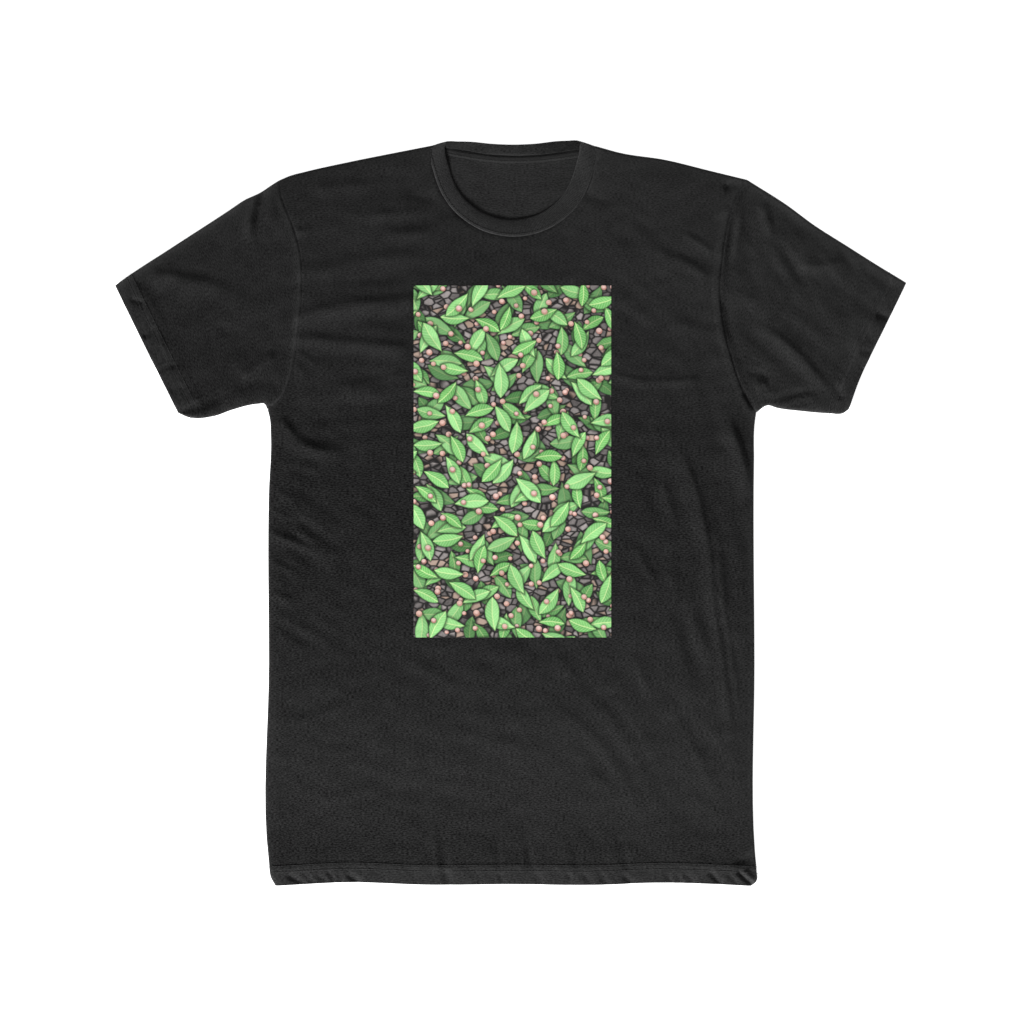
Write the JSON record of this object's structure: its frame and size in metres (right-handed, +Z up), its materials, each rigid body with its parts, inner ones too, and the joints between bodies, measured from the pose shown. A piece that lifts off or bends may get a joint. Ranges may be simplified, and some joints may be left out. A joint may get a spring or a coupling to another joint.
{
  "type": "t-shirt",
  "caption": "Short-sleeved crew-neck T-shirt laid flat on its back, with a ribbed collar, turned-in hems and a rectangular chest print.",
  "frame": {"origin": "on the surface the shirt lies on, under the middle of its outline", "axes": "+Z up out of the front of the shirt, +Y towards the collar, +X towards the wearer's left sleeve"},
  "size_m": [0.7895, 0.7474, 0.0139],
  "materials": {
    "jersey": "fine knitted cotton jersey, dull black",
    "rib": "one-by-one rib knit, dull black",
    "tape": "narrow jersey tape, dull black",
    "thread": "black sewing thread, slightly shiny",
    "print_ink": "flat printed ink in greens, browns and pink"
  },
  "bodies": {
    "root": {"front_panel": "jersey", "back_panel": "jersey", "neck_rib": "rib", "neck_tape": "tape", "chest_print": "print_ink", "neck_seam_stitches": "thread", "neck_tape_stitches": "thread", "hem_stitches_1": "thread", "hem_stitches_2": "thread", "right_sleeve": "jersey", "right_cuff_stitches_1": "thread", "right_cuff_stitches_2": "thread", "right_side_overlock": "thread", "right_shoulder_overlock": "thread", "right_armhole_overlock": "thread", "left_sleeve": "jersey", "left_cuff_stitches_1": "thread", "left_cuff_stitches_2": "thread", "left_side_overlock": "thread", "left_shoulder_overlock": "thread", "left_armhole_overlock": "thread"}
  },
  "joints": []
}
